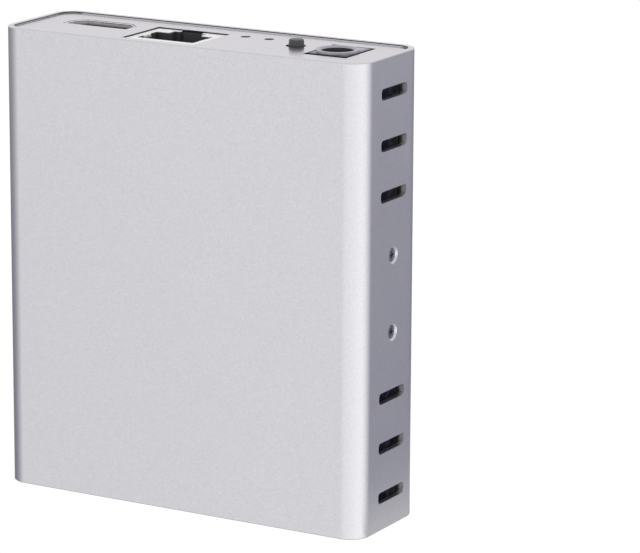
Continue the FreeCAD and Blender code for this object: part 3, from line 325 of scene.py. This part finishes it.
def make_aluminium():
    """Bead-blasted and clear anodised extrusion, matt in its slots, with painted shade in its
    slots, under the rim and on level faces such as its cut rims.
    """
    material, tree, shader = new_material("blasted_aluminium")
    fine = grain(tree, size_mm=0.16, detail=2.0)
    speck = grain(tree, size_mm=0.42, detail=4.0)
    cloud = grain(tree, size_mm=14.0)
    at_rim = below_rim(tree, deep=0.0, shallow=1.0, deep_mm=1.5, shallow_mm=1.0)
    # painted shade in the slots, from ambient occlusion, lifted near the rim
    painted_slot_shade = painted_shade_and_matt_mask(tree, reach_mm=1.6, floor=0.65, start=0.5, end=0.9)
    slot_metal = painted_shade_and_matt_mask(tree, reach_mm=1.6, floor=0.0, start=0.75, end=0.92)
    # painted shade on faces that turn up or down, such as the cut rims
    painted_rim_shade = [(0.0, 1.0), (0.12, 1.0), (0.3, 0.76), (0.9, 0.76), (0.97, 0.85)]
    tinted(tree, shader, (0.815, 0.81, 0.845), uneven(tree, speck, 0.045),
           uneven(tree, fine, 0.03), uneven(tree, cloud, 0.005),
           larger(tree, painted_slot_shade, at_rim), painted_inner_rim_shade(tree), painted_shade_by_facing(tree, painted_rim_shade))
    tree.links.new(larger(tree, slot_metal, at_rim), shader.inputs["Metallic"])
    rough(tree, shader, cloud, low=0.335, high=0.35)
    bumped(tree, shader, fine, depth_mm=0.02, strength=0.35)
    return material


def make_panel_plate():
    """Satin plating of the folded sheet, dull inside the box, with painted shade in its gaps,
    lifted beside the sleeve's walls, and on its upright cut edges near the ends.
    """
    material, tree, shader = new_material("panel_plate")
    fine = grain(tree, size_mm=0.25, detail=2.0)
    cloud = grain(tree, size_mm=9.0, detail=2.0)
    # painted shade in gaps and beside raised parts, from ambient occlusion
    gaps = painted_shade_and_matt_mask(tree, reach_mm=1.4, floor=0.02, start=0.3, end=0.85)
    # painted shade on the upright cut edges near the ends
    painted_edge_shade = painted_shade_by_facing(tree, [(0.0, 0.40), (0.5, 0.40), (0.9, 1.0)])
    inside = below_rim(tree, deep=1.0, shallow=0.0, deep_mm=3.0, shallow_mm=2.0)
    tinted(tree, shader, (0.665, 0.638, 0.672), uneven(tree, fine, 0.015),
           uneven(tree, cloud, 0.01), larger(tree, gaps, panel_border(tree)),
           larger(tree, painted_edge_shade, inside))
    tree.links.new(painted_shade_and_matt_mask(tree, reach_mm=9.0, floor=0.0, start=0.05, end=0.5),
                   shader.inputs["Metallic"])
    rough(tree, shader, cloud, low=0.20, high=0.25)
    bumped(tree, shader, fine, depth_mm=0.006, strength=0.3)
    return material


# Fields between the board's copper runs, per metre
TRACK_FIELDS = 420.0


def make_laminate():
    """Dark blue solder mask over copper runs, with painted shade in its gaps and corners."""
    material, tree, shader = new_material("board_mask")
    runs = add(tree, "ShaderNodeTexVoronoi", feature="DISTANCE_TO_EDGE", distance="MANHATTAN")
    runs.inputs["Scale"].default_value = TRACK_FIELDS
    tree.links.new(point_of(tree), runs.inputs["Vector"])
    track = spread(tree, runs.outputs["Distance"], low=1.35, high=1.0, start=0.03, end=0.08)
    fine = grain(tree, size_mm=0.3)
    tinted(tree, shader, (0.130, 0.135, 0.215), track, uneven(tree, fine, 0.08),
           painted_shade_and_matt_mask(tree, reach_mm=1.6, floor=0.7))
    shader.inputs["Coat Weight"].default_value = 0.4
    rough(tree, shader, fine, low=0.30, high=0.40)
    bumped(tree, shader, track, depth_mm=0.03)
    return material


def make_tin():
    """Bright tin plate, duller with depth inside the sockets, with painted shade that darkens with
    depth there and in its gaps and corners.
    """
    material = simple("tin_plate", (0.99, 0.98, 0.995), metallic=1.0, roughness=0.26, mark_mm=0.3,
                      unevenness=0.03, bump_mm=0.006, reach_mm=2.2, floor=0.45, start=0.2,
                      end=0.62, shade=painted_socket_shade)
    tree = material.node_tree
    tree.links.new(below_rim(tree, deep=0.0, shallow=1.0, deep_mm=0.75, shallow_mm=0.5),
                   tree.nodes["Principled BSDF"].inputs["Metallic"])
    return material


def make_lamp_resin():
    """Cloudy resin of the two unlit lamps, with painted shade in its gaps and corners."""
    material, tree, shader = new_material("lamp_resin")
    shader.inputs["Transmission Weight"].default_value = 0.25
    cloud = grain(tree, size_mm=0.6, detail=2.0)
    tinted(tree, shader, (0.15, 0.16, 0.15), uneven(tree, cloud, 0.1),
           painted_shade_and_matt_mask(tree, reach_mm=1.0, floor=0.5))
    rough(tree, shader, cloud, low=0.18, high=0.28)
    bumped(tree, shader, cloud, depth_mm=0.01, strength=0.2)
    return material


# Finishes by slot. Those made by simple carry painted shade in gaps and corners; the power jack
# also gets painted shade in its bore and along its edges, and the button a painted lighter top.
FINISHES = {
    "anodised_aluminium": make_aluminium(),
    "panel_steel": make_panel_plate(),
    "board_laminate": make_laminate(),
    "nickel_steel": simple("nickel_plate", (0.44, 0.44, 0.47), metallic=1.0, roughness=0.24,
                           unevenness=0.03, bump_mm=0.006, reach_mm=0.8, floor=0.05),
    "tinned_steel": make_tin(),
    "gold_contact": simple("gold_flash", (0.85, 0.60, 0.24), metallic=1.0, roughness=0.22,
                           mark_mm=0.15, unevenness=0.03, bump_mm=0.004, floor=0.35),
    "black_moulding": simple("black_moulding", (0.062, 0.060, 0.065), roughness=0.42,
                             unevenness=0.10),
    "grey_moulding": simple("grey_moulding", (0.420, 0.400, 0.465), roughness=0.38,
                            reach_mm=1.0, shade=painted_jack_shade),
    "white_moulding": simple("white_moulding", (0.74, 0.74, 0.71), roughness=0.40,
                             mark_mm=0.25, unevenness=0.03),
    "lamp_resin": make_lamp_resin(),
    "button_moulding": simple("button_moulding", (0.090, 0.086, 0.096), roughness=0.45,
                              mark_mm=0.15, unevenness=0.08, reach_mm=0.8, floor=0.15,
                              shade=painted_crown_light),
    "chip_epoxy": simple("chip_epoxy", (0.028, 0.028, 0.031), roughness=0.55, mark_mm=0.12,
                         unevenness=0.14, bump_mm=0.012),
    "pad_silicone": simple("pad_silicone", (0.30, 0.40, 0.52), roughness=0.60, mark_mm=0.3,
                           unevenness=0.06, bump_mm=0.02),
    "sink_aluminium": simple("sink_aluminium", (0.66, 0.67, 0.69), metallic=1.0,
                             roughness=0.34, mark_mm=0.3, floor=0.35),
    "ferrite": simple("ferrite", (0.060, 0.060, 0.064), roughness=0.55, unevenness=0.15,
                      bump_mm=0.02),
    "ceramic_body": simple("ceramic_body", (0.42, 0.31, 0.21), roughness=0.45,
                           unevenness=0.08),
}


def dress_nodes():
    """Give every carried-over node the finish of its slot."""
    for name, node in NODES.items():
        material = FINISHES[SLOT_OF[name]]
        for slot in node.material_slots:
            slot.material = material
        if not node.material_slots:
            node.data.materials.append(material)


# ---------------------------------------------------------------- visible pieces
MERGE_DISTANCE = 1e-7
FLAT_ANGLE = math.radians(0.4)
BEVEL_ANGLE = math.radians(30.0)
SHARP_ANGLE = math.radians(50)
TURNED_SIDES = 64
CROWN_STEPS = 7


def mesh_object(name, mesh, material):
    """Turn a bmesh into an object of the scene."""
    data = bpy.data.meshes.new(name)
    mesh.to_mesh(data)
    mesh.free()
    data.materials.append(material)
    thing = bpy.data.objects.new(name, data)
    bpy.context.scene.collection.objects.link(thing)
    return thing


def ride(piece, *node_names):
    body = "button" if node_names[0] == "push_button" else "case"
    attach(piece, body)
    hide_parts(*node_names)


def soften(piece, width_mm):
    """Round the sharp edges by a small radius and keep flat faces flat."""
    bevel = piece.modifiers.new("edge_round", "BEVEL")
    bevel.width = width_mm * MM
    bevel.segments = 2
    bevel.limit_method = "ANGLE"
    bevel.angle_limit = BEVEL_ANGLE
    bevel.use_clamp_overlap = True
    bevel.miter_outer = "MITER_ARC"
    bevel.harden_normals = False
    normals = piece.modifiers.new("flat_faces", "WEIGHTED_NORMAL")
    normals.keep_sharp = True
    normals.weight = 80


def copy_of(node_name, piece_name, width_mm):
    """A rounded copy of a solid, which then stands for it."""
    mesh = bmesh.new()
    mesh.from_mesh(NODES[node_name].data)
    bmesh.ops.remove_doubles(mesh, verts=mesh.verts, dist=MERGE_DISTANCE)
    bmesh.ops.dissolve_limit(mesh, angle_limit=FLAT_ANGLE, verts=mesh.verts,
                             edges=mesh.edges, delimit=set())
    for face in mesh.faces:
        face.smooth = True
    piece = mesh_object(piece_name, mesh, FINISHES[SLOT_OF[node_name]])
    soften(piece, width_mm)
    ride(piece, node_name)


def lathe(name, profile, centre_x, centre_y, node_name):
    """Turn a profile of (radius, height) about an upright line, to stand for a solid."""
    mesh = bmesh.new()
    turns = [math.tau * side / TURNED_SIDES for side in range(TURNED_SIDES)]
    rings = []
    for radius, height in profile:
        ring_turns = turns if radius else turns[:1]
        rings.append([mesh.verts.new((centre_x + radius * math.cos(turn),
                                      centre_y + radius * math.sin(turn), height))
                      for turn in ring_turns])
    for lower, upper in zip(rings, rings[1:]):
        for side in range(TURNED_SIDES):
            after = (side + 1) % TURNED_SIDES
            corners = [lower[side % len(lower)], lower[after % len(lower)],
                       upper[after % len(upper)], upper[side % len(upper)]]
            mesh.faces.new(list(dict.fromkeys(corners)))
    bmesh.ops.recalc_face_normals(mesh, faces=mesh.faces)
    for face in mesh.faces:
        face.smooth = True
    piece = mesh_object(name, mesh, FINISHES[SLOT_OF[node_name]])
    piece.data.set_sharp_from_angle(angle=SHARP_ANGLE)
    ride(piece, node_name)


def make_button_cap():
    """Tapered stem with a soft crown, its flange and its nose."""
    low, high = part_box("push_button")
    centre_x, centre_y = (low[0] + high[0]) / 2, (low[1] + high[1]) / 2
    rings = rings_of("push_button", centre_x, centre_y)
    (bottom, _, nose), (flange_low, _, flange), (flange_high, stem, _) = rings[:3]
    (_, _, tip), (top, _, _) = rings[-2:]
    edge, crown = 0.08 * MM, 0.30 * MM
    profile = [(0.0, bottom), (nose - edge, bottom), (nose, bottom + edge),
               (nose, flange_low), (flange - edge, flange_low), (flange, flange_low + edge),
               (flange, flange_high - edge), (flange - edge, flange_high), (stem, flange_high)]
    for step in range(CROWN_STEPS):
        turn = math.radians(90 * step / (CROWN_STEPS - 1))
        profile.append((tip - crown + crown * math.cos(turn), top - crown + crown * math.sin(turn)))
    profile.append((0.0, top))
    lathe("button_cap", profile, centre_x, centre_y, "push_button")


# ---------------------------------------------------------------- stage
SURROUND_RADIUS, SURROUND_STRENGTH = 5.0, 1.02
FLOOR_GLOW_STRENGTH = 0.50


def make_surround():
    """Even white field around the object, which only the camera sees."""
    material, tree = bare_material("white_field")
    show(tree, emission(tree, SURROUND_STRENGTH))
    mesh = bmesh.new()
    bmesh.ops.create_icosphere(mesh, subdivisions=4, radius=SURROUND_RADIUS)
    surround = mesh_object("surround", mesh, material)
    surround.visible_diffuse = surround.visible_glossy = False
    surround.visible_transmission = surround.visible_shadow = False
    return surround


def make_floor_glow():
    """Light that the floor beside the box throws back at the foot of its right side."""
    size, fade, behind_middle, below_foot = 60 * MM, 17 * MM, 8 * MM, 0.1 * MM
    material, tree = bare_material("floor_glow")
    mix = add(tree, "ShaderNodeMixShader")
    along = axes_of(tree, point_of(tree))["X"]
    tree.links.new(spread(tree, along, 1.0, 0.0, -size, -size + fade), mix.inputs["Fac"])
    tree.links.new(add(tree, "ShaderNodeBsdfTransparent").outputs["BSDF"], mix.inputs[1])
    tree.links.new(emission(tree, FLOOR_GLOW_STRENGTH), mix.inputs[2])
    show(tree, mix.outputs["Shader"])
    mesh = bmesh.new()
    bmesh.ops.create_grid(mesh, x_segments=1, y_segments=1, size=size)
    glowing = mesh_object("floor_glow", mesh, material)
    right_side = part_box("outer_sleeve")[1][0]
    glowing.location = (right_side + size, size - behind_middle, -below_foot)
    glowing.visible_camera = glowing.visible_shadow = False
    return glowing


# Brightness of the studio's walls by direction: degrees from the front towards the right
WALLS = [(-180, 0.22), (-150, 0.16), (-110, 0.16), (-80, 0.20), (-58, 0.41), (-42, 0.70),
         (-24, 0.82), (-8, 0.91), (10, 0.94), (40, 1.00), (70, 1.08), (88, 1.12), (104, 0.95),
         (125, 0.62), (138, 0.34), (150, 0.18), (180, 0.20)]
# Blue in the dark parts of the walls
BLUE_LEFT, BLUE_RIGHT = 0.22, 0.42
# Brightness above and below, and the heights, from -1 to 1, over which the walls turn into them
CEILING, CEILING_BLUE, CEILING_FROM, CEILING_TO = 0.92, 1.01, -0.23, 0.22
GROUND, GROUND_FROM, GROUND_TO = 0.55, -0.6, -0.85


def wall_colour(degrees, level):
    blue = BLUE_RIGHT if degrees > 0 else BLUE_LEFT
    return (level, level, level * (1.0 + blue * (1.0 - min(level, 1.0)) ** 2))


def make_world():
    """Studio of soft walls and a bright ceiling, by direction only."""
    world = bpy.data.worlds.new("studio")
    bpy.context.scene.world = world
    world.use_nodes = True
    tree = world.node_tree
    tree.nodes.clear()
    axes = axes_of(tree, add(tree, "ShaderNodeTexCoord").outputs["Generated"])
    around = compute(tree, "ARCTAN2", axes["X"], times(tree, axes["Y"], -1.0))
    walls = ramp(tree, spread(tree, around, 0.0, 1.0, -math.pi, math.pi),
                 [((degrees + 180) / 360, wall_colour(degrees, level))
                  for degrees, level in WALLS], "EASE")
    rise = spread(tree, axes["Z"], 0.0, 1.0, CEILING_FROM, CEILING_TO,
                  interpolation_type="SMOOTHSTEP")
    above = blend(tree, rise, walls, (CEILING, CEILING, CEILING * CEILING_BLUE, 1.0))
    sink = spread(tree, axes["Z"], 1.0, 0.0, GROUND_TO, GROUND_FROM)
    background = add(tree, "ShaderNodeBackground")
    tree.links.new(blend(tree, sink, above, (GROUND, GROUND, GROUND, 1.0)),
                   background.inputs["Color"])
    show(tree, background.outputs["Background"], "ShaderNodeOutputWorld")


# The photograph's viewpoint: degrees to the right of the front, above it and rolled, then the
# object's place in the view and the distance, in millimetres, then the lens
TURN, RISE, ROLL = 29.69, 13.65, 0.28
ACROSS, HEIGHT, DISTANCE = 22.25, 43.97, 750.05
SENSOR, LENS, NEAR = 36.0, 209.98, 0.01


def make_camera():
    turn, rise, roll = (math.radians(angle) for angle in (TURN, RISE, ROLL))
    back = Vector((math.sin(turn) * math.cos(rise), -math.cos(turn) * math.cos(rise),
                   math.sin(rise)))
    right = Vector((math.cos(turn), math.sin(turn), 0.0))
    up = back.cross(right)
    level = right * math.cos(roll) + up * math.sin(roll)
    upright = up * math.cos(roll) - right * math.sin(roll)
    spot = (level * ACROSS + upright * HEIGHT + back * DISTANCE) * MM
    data = bpy.data.cameras.new("camera")
    data.sensor_width = SENSOR
    data.lens = LENS
    data.clip_start = NEAR
    camera = bpy.data.objects.new("camera", data)
    camera.matrix_world = Matrix((
        (level.x, upright.x, back.x, spot.x), (level.y, upright.y, back.y, spot.y),
        (level.z, upright.z, back.z, spot.z), (0.0, 0.0, 0.0, 1.0)))
    bpy.context.scene.collection.objects.link(camera)
    bpy.context.scene.camera = camera


dress_nodes()
copy_of("outer_sleeve", "sleeve_skin", width_mm=0.20)
copy_of("chassis_tray", "tray_sheet", width_mm=0.07)
copy_of("network_jack_shield", "jack_shield", width_mm=0.06)
copy_of("video_socket_shell", "video_shell", width_mm=0.07)
copy_of("power_jack_body", "power_jack_block", width_mm=0.12)
copy_of("side_screws", "case_screws", width_mm=0.05)
make_button_cap()
make_surround()
make_floor_glow()
make_world()
make_camera()
bpy.context.scene.view_settings.view_transform = "Standard"
